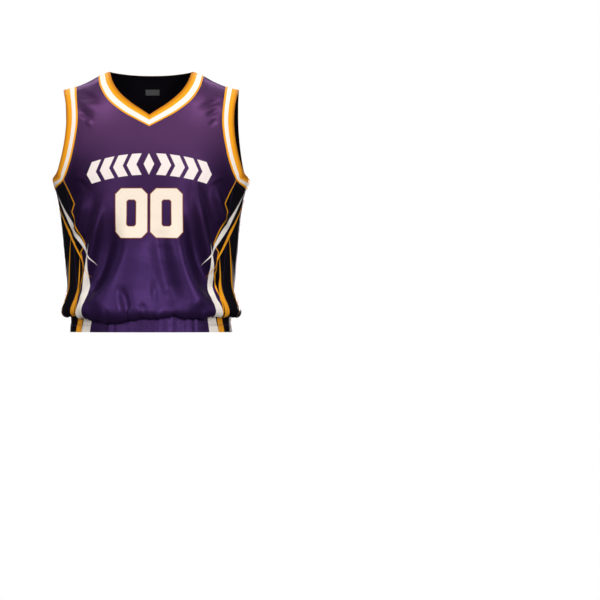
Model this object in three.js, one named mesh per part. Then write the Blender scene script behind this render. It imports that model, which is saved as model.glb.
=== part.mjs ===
// Basketball jersey: sleeveless and V-necked, filled out as when it is worn, and bloused over the waist,
// where its lower edge is tucked in.
import * as THREE from 'three';

// Millimetres. +X is the wearer's left, -Y the front and +Z up. The origin lies midway between the two
// shoulder seams, where the wearer's shoulders carry the jersey. Heights are given as a drop below the
// neck point, the place on the shoulder where the neckband's free edge crosses it.
const NECK_POINT_HEIGHT = 25;

// Walls, and the gap left between two pieces that are sewn together
const PANEL_WALL = 1.5;
const BAND_WALL = 2.4;
const LABEL_WALL = 1;
const SEAM_GAP = 0.3;
const LABEL_GAP = 0.8;

// Chest: the widest section, at the armpit. Higher up the cloth closes in towards the shoulder line.
const CHEST_DROP = 265;
const CHEST_HALF_WIDTH = 246;
const SECTION_ROUNDNESS = 2.4;
const FRONT_ROUNDNESS = 1.85;
const BACK_ROUNDNESS = 2.2;

// Angles run round a section: 0 at the wearer's left side, 90 at the centre front, -90 at the centre back.
const FRONT = 1;
const BACK = -1;
const HALF_TURN = 180;
const SIDE_SEAM_ANGLE = 32;

// Shoulder line, seen from the front: the drop of the fold between front and back
const shoulderLine = [
  { across: 0, drop: -8 },
  { across: 60, drop: -5.5 },
  { across: 102, drop: 0 },
  { across: 131, drop: 11 },
  { across: 157, drop: 25 },
  { across: 187, drop: 37.5 },
  { across: 220, drop: 46 },
  { across: 246, drop: 50 },
];

// Sections from the armpit down. The cloth swells over the waist, rolls under at its lowest point, turns at
// the waist and hangs down inside as a short tail with a plain hem.
const sections = [
  { drop: CHEST_DROP, halfWidth: CHEST_HALF_WIDTH, front: 130, back: 118 },
  { drop: 280, halfWidth: 243.5, front: 130, back: 118 },
  { drop: 305, halfWidth: 236.5, front: 130.5, back: 117 },
  { drop: 345, halfWidth: 229, front: 130.5, back: 114 },
  { drop: 395, halfWidth: 222.5, front: 127, back: 108 },
  { drop: 450, halfWidth: 217.5, front: 122.5, back: 102 },
  { drop: 495, halfWidth: 213, front: 122, back: 100 },
  { drop: 537, halfWidth: 210, front: 124.5, back: 102 },
  { drop: 562, halfWidth: 214.5, front: 128, back: 108 },
  { drop: 582, halfWidth: 221, front: 132, back: 115 },
  { drop: 597, halfWidth: 223.5, front: 134, back: 118 },
  { drop: 607, halfWidth: 220, front: 131, back: 116 },
  { drop: 611, halfWidth: 212, front: 124, back: 110 },
  { drop: 604, halfWidth: 204, front: 117, back: 104 },
  { drop: 612, halfWidth: 199.5, front: 113, back: 100 },
  { drop: 630, halfWidth: 199.5, front: 113, back: 100 },
  { drop: 650, halfWidth: 201, front: 114, back: 101 },
].map((row, index) => ({ ...row, level: 1 + index }));
const ROLL_LEVEL = 12;
const WAIST_LEVEL = 15;
const HEM_LEVEL = sections.length;

// Neckband, from the shoulder seam to the centre, as half breadths and drops of its sewn and its free edge
const frontNeck = [
  { seam: 131, seamDrop: 11, edge: 102, edgeDrop: 0 },
  { seam: 124, seamDrop: 41, edge: 93, edgeDrop: 28 },
  { seam: 103, seamDrop: 75, edge: 75, edgeDrop: 55 },
  { seam: 68, seamDrop: 104, edge: 46, edgeDrop: 81 },
  { seam: 34, seamDrop: 123.5, edge: 21, edgeDrop: 98 },
  { seam: 0, seamDrop: 141.5, edge: 0, edgeDrop: 112 },
].map((row, step) => ({ ...row, step }));
const backNeck = [
  { seam: 131, seamDrop: 11, edge: 102, edgeDrop: 0 },
  { seam: 98, seamDrop: 20.5, edge: 77, edgeDrop: 3 },
  { seam: 66, seamDrop: 27, edge: 52, edgeDrop: 5.4 },
  { seam: 33, seamDrop: 30.4, edge: 26, edgeDrop: 6.8 },
  { seam: 0, seamDrop: 31.5, edge: 0, edgeDrop: 7.2 },
].map((row, step) => ({ ...row, step }));

// Armhole band of the left side, from the shoulder seam down the front, under the arm and up the back, as
// angles and drops of its sewn and its free edge
const armhole = [
  { seam: 44.4, seamDrop: 37, edge: 29.6, edgeDrop: 46 },
  { seam: 46, seamDrop: 80, edge: 33.5, edgeDrop: 80 },
  { seam: 46.9, seamDrop: 110, edge: 34.8, edgeDrop: 108 },
  { seam: 46.7, seamDrop: 140, edge: 34.8, edgeDrop: 136 },
  { seam: 44.4, seamDrop: 182, edge: 33, edgeDrop: 174 },
  { seam: 40, seamDrop: 230, edge: 28.6, edgeDrop: 215 },
  { seam: SIDE_SEAM_ANGLE, seamDrop: 272, edge: 21.5, edgeDrop: 251 },
  { seam: 17, seamDrop: 289, edge: 11.5, edgeDrop: 264 },
  { seam: 0, seamDrop: 296, edge: 0, edgeDrop: 269 },
  { seam: -17, seamDrop: 289, edge: -11.5, edgeDrop: 264 },
  { seam: -SIDE_SEAM_ANGLE, seamDrop: 272, edge: -21, edgeDrop: 251 },
  { seam: -38, seamDrop: 230, edge: -26, edgeDrop: 216 },
  { seam: -41.4, seamDrop: 182, edge: -29, edgeDrop: 176 },
  { seam: -43.2, seamDrop: 138, edge: -30.6, edgeDrop: 138 },
  { seam: -43.8, seamDrop: 100, edge: -30.9, edgeDrop: 102 },
  { seam: -44.2, seamDrop: 68, edge: -30.6, edgeDrop: 72 },
  { seam: -44.4, seamDrop: 37, edge: -29.6, edgeDrop: 46 },
].map((row, step) => ({ ...row, step }));
const FRONT_CORNER_STEP = 6;
const BACK_CORNER_STEP = 10;

// Largest folds, as ridges (positive height) and hollows (negative) along a bent line. Each point of a line is
// its distance to the wearer's left of the centre, and its drop. Inner and outer are a fold's half breadths,
// towards the centre and away from it.
const folds = [
  { facing: FRONT, height: 9, inner: 24, outer: 11, line: [[-158, 290], [-170, 355], [-182, 410]] },
  { facing: FRONT, height: 13, inner: 13, outer: 16, line: [[-108, 300], [-134, 420], [-164, 560]] },
  { facing: FRONT, height: 26, inner: 100, outer: 28, line: [[-46, 330], [-64, 480], [-148, 594]] },
  { facing: FRONT, height: -12, inner: 18, outer: 24, line: [[-84, 340], [-106, 470], [-140, 556]] },
  { facing: FRONT, height: -8, inner: 22, outer: 22, line: [[20, 350], [34, 460], [58, 560]] },
  { facing: FRONT, height: -7, inner: 11, outer: 11, line: [[-66, 530], [-58, 570], [-50, 604]] },
  { facing: FRONT, height: 22, inner: 44, outer: 22, line: [[68, 330], [84, 480], [137, 594]] },
  { facing: FRONT, height: -12, inner: 18, outer: 20, line: [[96, 340], [116, 470], [162, 562]] },
  { facing: FRONT, height: 13, inner: 18, outer: 14, line: [[112, 250], [131, 385], [160, 510]] },
  { facing: FRONT, height: 9, inner: 14, outer: 11, line: [[158, 265], [172, 330], [184, 380]] },
  { facing: FRONT, height: -3.8, inner: 12, outer: 12, line: [[-186, 48], [-152, 64], [-107, 86]] },
  { facing: FRONT, height: -3.8, inner: 12, outer: 12, line: [[-182, 94], [-160, 110], [-135, 130]] },
  { facing: FRONT, height: -3.8, inner: 12, outer: 12, line: [[184, 70], [150, 84], [112, 105]] },
  { facing: BACK, height: 11, inner: 24, outer: 13, line: [[132, 190], [158, 350], [180, 500]] },
  { facing: BACK, height: 16, inner: 12, outer: 44, line: [[104, 340], [107, 480], [168, 596]] },
  { facing: BACK, height: -9, inner: 13, outer: 13, line: [[86, 340], [90, 470], [98, 580]] },
  { facing: BACK, height: 12, inner: 36, outer: 17, line: [[60, 330], [62, 450], [66, 560]] },
  { facing: BACK, height: 9, inner: 24, outer: 24, line: [[66, 600], [22, 560], [-52, 606]] },
  { facing: BACK, height: -7, inner: 11, outer: 11, line: [[-4, 548], [-38, 574], [-62, 606]] },
  { facing: BACK, height: 20, inner: 42, outer: 20, line: [[-78, 320], [-92, 470], [-170, 596]] },
  { facing: BACK, height: -9, inner: 18, outer: 20, line: [[-108, 340], [-122, 470], [-156, 556]] },
  { facing: BACK, height: 12, inner: 18, outer: 14, line: [[-132, 240], [-150, 400], [-174, 500]] },
  { facing: BACK, height: 8, inner: 14, outer: 10, line: [[-172, 200], [-180, 262], [-189, 325]] },
  { facing: BACK, height: -10, inner: 38, outer: 38, line: [[-4, 340], [-14, 450], [-34, 560]] },
  { facing: BACK, height: -3.6, inner: 12, outer: 12, line: [[178, 92], [164, 108], [149, 131]] },
];
const FOLD_STEPS = 10; // straight pieces in a fold's line
const FOLD_FADE_IN = 0.45;
const FOLD_FADE_OUT = 0.12;
const FOLD_END_HEIGHT = 0.5;

// How finely each stretch is divided
const HALF_COLUMNS = 15;
const STRAP_COLUMNS = 6;
const BACK_NECK_COLUMNS = 10;
const SIDE_COLUMNS = 6;
const NECK_ROWS = 11;
const CHEST_ROWS = 7;
const BACK_ROWS = 14;
const ARMPIT_ROWS = 5;
const BODY_ROWS = 11;
const BLOUSE_ROWS = 7;
const TURN_ROWS = 5;
const TAIL_ROWS = 2;
const ARMPIT_LEVEL = 4;
const BLOUSE_LEVEL = 8;

const colours = { purple: 0x452a62, black: 0x0b0a10, gold: 0xeea91f, grey: 0x55585a };

// Smooth curve through a table: the value of one column where another reaches a given value
function smooth(rows, by, column, at) {
  let low = 0;
  while (low < rows.length - 2 && rows[low + 1][by] < at) {
    low += 1;
  }
  const slope = (index) => {
    const before = rows[Math.max(index - 1, 0)];
    const after = rows[Math.min(index + 1, rows.length - 1)];
    return (after[column] - before[column]) / (after[by] - before[by]);
  };
  const span = rows[low + 1][by] - rows[low][by];
  const t = (at - rows[low][by]) / span;
  const startWeight = (1 + 2 * t) * (1 - t) ** 2;
  const endWeight = t * t * (3 - 2 * t);
  const startSlope = t * (1 - t) ** 2 * span * slope(low);
  const endSlope = t * t * (t - 1) * span * slope(low + 1);
  return startWeight * rows[low][column] + endWeight * rows[low + 1][column] + startSlope + endSlope;
}

// Where a steadily growing function of one number reaches a target
function solve(grows, target, low, high) {
  let from = low;
  let to = high;
  for (let pass = 0; pass < 50; pass += 1) {
    const middle = (from + to) / 2;
    if (grows(middle) < target) {
      from = middle;
    } else {
      to = middle;
    }
  }
  return (from + to) / 2;
}

const mix = (from, to, t) => from + (to - from) * t;
const shoulderDrop = (across) => smooth(shoulderLine, 'across', 'drop', Math.abs(across));
const shoulderRoundness = (facing) => (facing === FRONT ? FRONT_ROUNDNESS : BACK_ROUNDNESS);
const depthColumn = (facing) => (facing === FRONT ? 'front' : 'back');

function halfWidthAt(level) {
  return level <= 1 ? CHEST_HALF_WIDTH : smooth(sections, 'level', 'halfWidth', level);
}

// A level is a place down the jersey: 0 on the shoulder line, 1 at the armpit, and then a row of the section
// table. This gives the level of a drop above the waist.
function levelAt(across, drop, facing) {
  if (drop >= CHEST_DROP) {
    return solve((level) => smooth(sections, 'level', 'drop', level), drop, 1, ROLL_LEVEL - 1);
  }
  const top = shoulderDrop(across);
  const left = Math.min((CHEST_DROP - drop) / (CHEST_DROP - top), 1);
  return Math.acos(left ** (shoulderRoundness(facing) / 2)) / (Math.PI / 2);
}

function angleAt(across, level, facing) {
  const share = Math.min(Math.abs(across) / halfWidthAt(level), 1) ** (SECTION_ROUNDNESS / 2);
  return facing * THREE.MathUtils.radToDeg(Math.acos(Math.sign(across) * share));
}

function acrossAt(angle, level) {
  const cosine = Math.cos(THREE.MathUtils.degToRad(angle));
  return Math.sign(cosine) * halfWidthAt(level) * Math.abs(cosine) ** (2 / SECTION_ROUNDNESS);
}

// Point on the jersey without its folds
function bodyPoint(angle, level) {
  const sine = Math.sin(THREE.MathUtils.degToRad(angle));
  const facing = sine >= 0 ? FRONT : BACK;
  const x = acrossAt(angle, level);
  const bulge = Math.abs(sine) ** (2 / SECTION_ROUNDNESS);
  if (level >= 1) {
    const depth = smooth(sections, 'level', depthColumn(facing), level);
    const drop = smooth(sections, 'level', 'drop', level);
    return new THREE.Vector3(x, -facing * depth * bulge, NECK_POINT_HEIGHT - drop);
  }
  const turn = (level * Math.PI) / 2;
  const power = 2 / shoulderRoundness(facing);
  const top = shoulderDrop(x);
  const drop = mix(CHEST_DROP, top, Math.cos(turn) ** power);
  const depth = sections[0][depthColumn(facing)] * Math.sin(turn) ** power;
  return new THREE.Vector3(x, -facing * depth * bulge, NECK_POINT_HEIGHT - drop);
}

// Direction straight out of the cloth
function outward(angle, level) {
  const turn = 0.4;
  const step = 0.004;
  const round = bodyPoint(angle + turn, level).sub(bodyPoint(angle - turn, level));
  const upper = bodyPoint(angle, Math.max(level - step, 0));
  const lower = bodyPoint(angle, Math.min(level + step, HEM_LEVEL));
  return round.cross(lower.sub(upper)).normalize();
}

// Middle line of each fold, laid on the body
const foldLines = folds.map((fold) => {
  const [start, middle, end] = fold.line.map(([x, drop]) => new THREE.Vector2(x, drop));
  const control = middle.clone().multiplyScalar(2).sub(start.clone().add(end).multiplyScalar(0.5));
  const flat = new THREE.QuadraticBezierCurve(start, control, end).getPoints(FOLD_STEPS);
  const points = flat.map(({ x, y }) => {
    const level = levelAt(x, y, fold.facing);
    return bodyPoint(angleAt(x, level, fold.facing), level);
  });
  return { ...fold, points };
});

function foldHeight(point, level) {
  const fade = 1 - THREE.MathUtils.smoothstep(level, ROLL_LEVEL + 0.5, WAIST_LEVEL - 1);
  const nearest = new THREE.Vector3();
  let total = 0;
  for (const fold of foldLines) {
    const towardsCentre = -Math.sign(fold.points[FOLD_STEPS / 2].x);
    let best = { distance: Infinity, along: 0, inward: 0 };
    for (let step = 0; step < FOLD_STEPS; step += 1) {
      const segment = new THREE.Line3(fold.points[step], fold.points[step + 1]);
      const part = segment.closestPointToPointParameter(point, true);
      const distance = segment.at(part, nearest).distanceTo(point);
      if (distance < best.distance) {
        const inward = (point.x - nearest.x) * towardsCentre;
        best = { distance, along: (step + part) / FOLD_STEPS, inward };
      }
    }
    const start = THREE.MathUtils.smoothstep(best.along, 0, FOLD_FADE_IN);
    const end = mix(FOLD_END_HEIGHT, 1, THREE.MathUtils.smoothstep(1 - best.along, 0, FOLD_FADE_OUT));
    const breadth = best.inward > 0 ? fold.inner : fold.outer;
    total += fold.height * Math.exp(-((best.distance / breadth) ** 2)) * start * end;
  }
  return total * fade;
}

function sampleAt(angle, level) {
  const point = bodyPoint(angle, level);
  return { point, normal: outward(angle, level), fold: foldHeight(point, level) };
}

function sampleAcross(across, level, facing) {
  return sampleAt(angleAt(across, level, facing), level);
}

// Edges that only one face uses, each as its two ends in the order of that face
function openEdges(faces) {
  const used = new Map();
  for (const face of faces) {
    face.forEach((from, corner) => {
      const to = face[(corner + 1) % face.length];
      used.set(`${from} ${to}`, [from, to]);
    });
  }
  return [...used.values()].filter(([from, to]) => !used.has(`${to} ${from}`));
}

// Draw each open edge back by half the seam gap, across the edge and within the cloth
function insetEdges(samples, edges) {
  const inward = new Map();
  for (const [from, to] of edges) {
    const along = samples[to].point.clone().sub(samples[from].point);
    for (const end of [from, to]) {
      const across = samples[end].normal.clone().cross(along).normalize();
      inward.set(end, [...(inward.get(end) ?? []), across]);
    }
  }
  for (const [index, [first, second]] of inward) {
    const shift = first.clone().add(second);
    shift.multiplyScalar(SEAM_GAP / 2 / (1 + first.dot(second)));
    samples[index].inset = shift;
  }
}

// Closed wall of cloth from one or more grids of samples, which join where they share points
function wall(name, grids, thickness, colour, lift = 0) {
  const samples = [];
  const known = new Map();
  const indexOf = (sample) => {
    const key = sample.point.toArray().map((value) => Math.round(value * 1000)).join(' ');
    if (!known.has(key)) {
      known.set(key, samples.length);
      samples.push({ ...sample, inset: new THREE.Vector3() });
    }
    return known.get(key);
  };
  const faces = [];
  for (const grid of grids) {
    const indices = grid.map((row) => row.map(indexOf));
    for (let row = 0; row < indices.length - 1; row += 1) {
      for (let column = 0; column < indices[row].length - 1; column += 1) {
        const [a, b] = indices[row].slice(column, column + 2);
        const [d, c] = indices[row + 1].slice(column, column + 2);
        const diagonal = samples[c].point.clone().sub(samples[a].point);
        const other = samples[d].point.clone().sub(samples[b].point);
        const outside = diagonal.cross(other).dot(samples[a].normal) > 0;
        faces.push(outside ? [a, b, c] : [a, c, b], outside ? [a, c, d] : [a, d, c]);
      }
    }
  }
  const edges = openEdges(faces);
  insetEdges(samples, edges);
  const layer = (offset) => samples.map((sample) => {
    const point = sample.point.clone().add(sample.inset);
    return point.addScaledVector(sample.normal, sample.fold + lift + offset);
  });
  const inside = samples.length;
  const triangles = [...faces, ...faces.map(([a, b, c]) => [a + inside, c + inside, b + inside])];
  for (const [from, to] of edges) {
    triangles.push([to, from, from + inside], [to, from + inside, to + inside]);
  }
  const points = [...layer(thickness / 2), ...layer(-thickness / 2)];
  const geometry = new THREE.BufferGeometry();
  geometry.setAttribute('position', new THREE.Float32BufferAttribute(points.flatMap((p) => p.toArray()), 3));
  geometry.setIndex(triangles.flat());
  geometry.computeVertexNormals();
  const cloth = new THREE.MeshStandardMaterial({ color: colour, roughness: 0.55, metalness: 0 });
  const mesh = new THREE.Mesh(geometry, cloth);
  mesh.name = name;
  return mesh;
}

const steps = (count) => Array.from({ length: count + 1 }, (_, index) => index / count);
const armSeam = (step) => ({
  angle: smooth(armhole, 'step', 'seam', step),
  drop: smooth(armhole, 'step', 'seamDrop', step),
});
const armEdge = (step) => ({
  angle: smooth(armhole, 'step', 'edge', step),
  drop: smooth(armhole, 'step', 'edgeDrop', step),
});

// Level of a place given by its angle and drop
function levelOf({ angle, drop }) {
  const facing = angle >= 0 ? FRONT : BACK;
  return levelAt(acrossAt(angle, 1), drop, facing);
}

const cornerLevel = levelOf(armSeam(FRONT_CORNER_STEP));

// Step of the armhole table where its seam is at a level, on the front or on the back
function armStepAt(level, facing) {
  if (facing === FRONT) {
    return solve((step) => levelOf(armSeam(step)), level, 0, FRONT_CORNER_STEP);
  }
  const last = armhole.length - 1;
  return last - solve((back) => levelOf(armSeam(last - back)), level, 0, last - BACK_CORNER_STEP);
}

// Half breadth of the front or back panel at a level: to the armhole seam, or to the side seam below it
function panelReach(level, facing) {
  if (level >= cornerLevel) {
    return acrossAt(SIDE_SEAM_ANGLE, level);
  }
  return acrossAt(armSeam(armStepAt(level, facing)).angle, level);
}

// Levels below the armhole, shared by all four panels so that their seams meet point to point
const armpitLevels = steps(ARMPIT_ROWS).map((t) => mix(cornerLevel, ARMPIT_LEVEL, t));
const bodyLevels = [
  ...steps(BODY_ROWS).map((t) => mix(ARMPIT_LEVEL, BLOUSE_LEVEL, t)).slice(1),
  ...steps(BLOUSE_ROWS).map((t) => mix(BLOUSE_LEVEL, ROLL_LEVEL + 1, t)).slice(1),
  ...steps(TURN_ROWS).map((t) => mix(ROLL_LEVEL + 1, WAIST_LEVEL, t)).slice(1),
  ...steps(TAIL_ROWS).map((t) => mix(WAIST_LEVEL, HEM_LEVEL, t)).slice(1),
];

// Front neck seam at the rows of the front panel
const neckRows = steps(NECK_ROWS).map((t) => {
  const step = t * (frontNeck.length - 1);
  const across = smooth(frontNeck, 'step', 'seam', step);
  const drop = smooth(frontNeck, 'step', 'seamDrop', step);
  return { step, across, level: step === 0 ? 0 : levelAt(across, drop, FRONT) };
});
const neckTipLevel = neckRows.at(-1).level;
const chestLevels = steps(CHEST_ROWS).map((t) => mix(neckTipLevel, cornerLevel, t)).slice(1);

function frontPanel() {
  const rows = [
    ...neckRows,
    ...[...chestLevels, ...armpitLevels.slice(1), ...bodyLevels].map((level) => ({ across: 0, level })),
  ];
  const half = (side) => rows.map(({ across, level }) => steps(HALF_COLUMNS).map((t) => (
    sampleAcross(side * mix(across, panelReach(level, FRONT), t), level, FRONT)
  )));
  return wall('front_panel', [half(1), half(-1)], PANEL_WALL, colours.purple);
}

// Top edge of the back panel, from the centre back: the neck seam, then the shoulder seam
const shoulderStart = backNeck[0].seam;
const shoulderEnd = panelReach(0, BACK);
const backTop = [
  ...steps(BACK_NECK_COLUMNS).map((t) => {
    const step = (1 - t) * (backNeck.length - 1);
    const across = smooth(backNeck, 'step', 'seam', step);
    const drop = smooth(backNeck, 'step', 'seamDrop', step);
    return { step, across, level: step === 0 ? 0 : levelAt(across, drop, BACK) };
  }),
  ...steps(STRAP_COLUMNS).slice(1).map((t) => ({ across: mix(shoulderStart, shoulderEnd, t), level: 0 })),
];
const backArmLevels = steps(BACK_ROWS).map((t) => t * cornerLevel);

function backPanel() {
  const half = (side) => {
    const upper = backArmLevels.map((armLevel) => backTop.map(({ across, level }) => {
      const place = mix(level, cornerLevel, armLevel / cornerLevel);
      return sampleAcross(side * (across / shoulderEnd) * panelReach(armLevel, BACK), place, BACK);
    }));
    const lower = [...armpitLevels.slice(1), ...bodyLevels].map((level) => backTop.map(({ across }) => (
      sampleAcross(side * (across / shoulderEnd) * panelReach(level, BACK), level, BACK)
    )));
    return [...upper, ...lower];
  };
  return wall('back_panel', [half(1), half(-1)], PANEL_WALL, colours.purple);
}

// Stations of the armhole under the arm, where the side panel meets the band
const underArm = steps(SIDE_COLUMNS).map((t) => mix(FRONT_CORNER_STEP, BACK_CORNER_STEP, t));

const mirrored = (angle, side) => (side > 0 ? angle : (angle >= 0 ? 1 : -1) * HALF_TURN - angle);

function sidePanel(side, name) {
  const tops = underArm.map((step) => {
    const seam = armSeam(step);
    return { angle: seam.angle, level: levelOf(seam) };
  });
  const upper = armpitLevels.map((armpit) => tops.map(({ angle, level }) => {
    const share = (armpit - cornerLevel) / (ARMPIT_LEVEL - cornerLevel);
    return sampleAt(mirrored(angle, side), mix(level, ARMPIT_LEVEL, share));
  }));
  const lower = bodyLevels.map((level) => tops.map(({ angle }) => sampleAt(mirrored(angle, side), level)));
  return wall(name, [[...upper, ...lower]], PANEL_WALL, colours.black);
}

// Strip from a sewn edge to a free edge, three points wide
const acrossBand = (seam, edge) => [0, 0.5, 1].map((t) => ({
  angle: mix(seam.angle, edge.angle, t),
  level: mix(seam.level, edge.level, t),
}));

function armBand(side, name) {
  const frontLevels = [...neckRows.map(({ level }) => level), ...chestLevels];
  const stations = [
    ...frontLevels.slice(0, -1).map((level) => armStepAt(level, FRONT)),
    ...underArm,
    ...backArmLevels.slice(0, -1).reverse().map((level) => armStepAt(level, BACK)),
  ];
  const rows = stations.map((step, index) => {
    const onShoulder = index === 0 || index === stations.length - 1;
    const [seam, edge] = [armSeam(step), armEdge(step)].map((place) => (
      { angle: place.angle, level: onShoulder ? 0 : levelOf(place) }
    ));
    return acrossBand(seam, edge).map(({ angle, level }) => sampleAt(mirrored(angle, side), level));
  });
  return wall(name, [rows], BAND_WALL, colours.gold);
}

function neckBand() {
  const station = (table, facing, side) => ({ step }) => {
    const ends = ['seam', 'edge'].map((kind) => {
      const across = smooth(table, 'step', kind, step);
      const drop = smooth(table, 'step', `${kind}Drop`, step);
      return { across, level: step === 0 ? 0 : levelAt(across, drop, facing) };
    });
    return [0, 0.5, 1].map((t) => {
      const across = side * mix(ends[0].across, ends[1].across, t);
      return sampleAcross(across, mix(ends[0].level, ends[1].level, t), facing);
    });
  };
  const half = (side) => [
    neckRows.map(station(frontNeck, FRONT, side)),
    backTop.slice(0, BACK_NECK_COLUMNS + 1).map(station(backNeck, BACK, side)),
  ];
  return wall('neckband', [...half(1), ...half(-1)], BAND_WALL, colours.gold);
}

// Small plain label inside the back, just under the neckband
function neckLabel() {
  const width = 35;
  const top = 39;
  const bottom = 53;
  const columns = 4;
  const behindCloth = -(PANEL_WALL + LABEL_WALL) / 2 - LABEL_GAP;
  const rows = [0, 0.5, 1].map((down) => steps(columns).map((t) => {
    const across = mix(-width / 2, width / 2, t);
    return sampleAcross(across, levelAt(across, mix(top, bottom, down), BACK), BACK);
  }));
  return wall('neck_label', [rows], LABEL_WALL, colours.grey, behindCloth);
}

const jersey = new THREE.Group();
jersey.add(
  frontPanel(),
  backPanel(),
  sidePanel(1, 'side_panel_left'),
  sidePanel(-1, 'side_panel_right'),
  neckBand(),
  armBand(1, 'armband_left'),
  armBand(-1, 'armband_right'),
  neckLabel(),
);

export default jersey;
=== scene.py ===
"""Looks of a sleeveless basketball jersey, filled out as worn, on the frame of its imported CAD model.

Sizes are in millimetres, with +X the wearer's left, -Y the front and +Z up, until a mesh is made in metres.
"""

import math

import bpy
import numpy as np
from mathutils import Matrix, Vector


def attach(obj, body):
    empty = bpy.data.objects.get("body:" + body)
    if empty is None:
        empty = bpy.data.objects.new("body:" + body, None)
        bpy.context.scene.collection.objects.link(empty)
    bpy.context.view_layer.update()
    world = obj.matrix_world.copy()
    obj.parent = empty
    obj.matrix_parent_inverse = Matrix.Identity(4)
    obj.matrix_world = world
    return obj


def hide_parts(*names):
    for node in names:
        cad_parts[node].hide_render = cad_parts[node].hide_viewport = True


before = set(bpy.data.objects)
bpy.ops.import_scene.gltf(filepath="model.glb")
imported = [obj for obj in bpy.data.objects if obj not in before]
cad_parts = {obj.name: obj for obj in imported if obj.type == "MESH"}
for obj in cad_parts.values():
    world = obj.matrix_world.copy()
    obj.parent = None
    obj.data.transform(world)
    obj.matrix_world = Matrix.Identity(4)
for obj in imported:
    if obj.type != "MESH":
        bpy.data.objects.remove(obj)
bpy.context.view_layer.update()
MM = 0.001

# Frame: heights are a drop below the neck point, where the neckband's free edge crosses the shoulder
NECK_POINT_HEIGHT = 25
PANEL_WALL = 0.9
BAND_WALL = 2.2
LABEL_WALL = 0.7
LABEL_GAP = 0.9
SEAM_GAP = 0.12

# Body shape
CHEST_DROP = 265
CHEST_HALF_WIDTH = 246
SECTION_ROUNDNESS = 2.4
FRONT, BACK = 1, -1
ROUNDNESS = {FRONT: 1.85, BACK: 2.2}
DEPTH = {FRONT: "front", BACK: "back"}
SIDE_SEAM_ANGLE = 32


def table(names, rows):
    """Named columns from rows of numbers, with the row number as a column named row."""
    columns = dict(zip(names.split(), np.array(rows, float).T))
    return columns | {"row": np.arange(len(rows), dtype=float)}


shoulder_line = table("across drop", [
    (0, -8), (60, -5.5), (102, 0), (131, 11), (157, 25), (187, 37.5), (220, 46), (246, 50),
])

# Sections from the armpit down: the cloth swells over the waist, rolls under, turns and hangs inside
sections = table("drop half_width front back", [
    (CHEST_DROP, CHEST_HALF_WIDTH, 130, 118),
    (280, 243.5, 130, 118),
    (305, 236.5, 130.5, 117),
    (345, 229, 130.5, 114),
    (395, 222.5, 127, 108),
    (450, 217.5, 122.5, 102),
    (495, 213, 122, 100),
    (537, 210, 124.5, 102),
    (562, 214.5, 128, 108),
    (582, 221, 132, 115),
    (597, 223.5, 134, 118),
    (607, 220, 131, 116),
    (611, 212, 124, 110),
    (604, 204, 117, 104),
    (612, 199.5, 113, 100),
    (630, 199.5, 113, 100),
    (650, 201, 114, 101),
])
sections["level"] = sections["row"] + 1
ARMPIT_LEVEL, BLOUSE_LEVEL, ROLL_LEVEL, WAIST_LEVEL, HEM_LEVEL = 4, 8, 12, 15, 17

# Bands: half breadths (neck) or angles (armhole) and drops of the sewn and the free edge
front_neck = table("seam seam_drop edge edge_drop", [
    (131, 11, 102, 0),
    (124, 41, 93, 28),
    (103, 75, 75, 55),
    (68, 104, 46, 81),
    (34, 123.5, 21, 98),
    (0, 141.5, 0, 112),
])
back_neck = table("seam seam_drop edge edge_drop", [
    (131, 11, 102, 0),
    (98, 20.5, 77, 3),
    (66, 27, 52, 5.4),
    (33, 30.4, 26, 6.8),
    (0, 31.5, 0, 7.2),
])
armhole = table("seam seam_drop edge edge_drop", [
    (44.4, 37, 29.6, 46),
    (46, 80, 33.5, 80),
    (46.9, 110, 34.8, 108),
    (46.7, 140, 34.8, 136),
    (44.4, 182, 33, 174),
    (40, 230, 28.6, 215),
    (SIDE_SEAM_ANGLE, 272, 21.5, 251),
    (17, 289, 11.5, 264),
    (0, 296, 0, 269),
    (-17, 289, -11.5, 264),
    (-SIDE_SEAM_ANGLE, 272, -21, 251),
    (-38, 230, -26, 216),
    (-41.4, 182, -29, 176),
    (-43.2, 138, -30.6, 138),
    (-43.8, 100, -30.9, 102),
    (-44.2, 68, -30.6, 72),
    (-44.4, 37, -29.6, 46),
])
FRONT_CORNER, BACK_CORNER, ARM_END = 6, 10, 16

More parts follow.
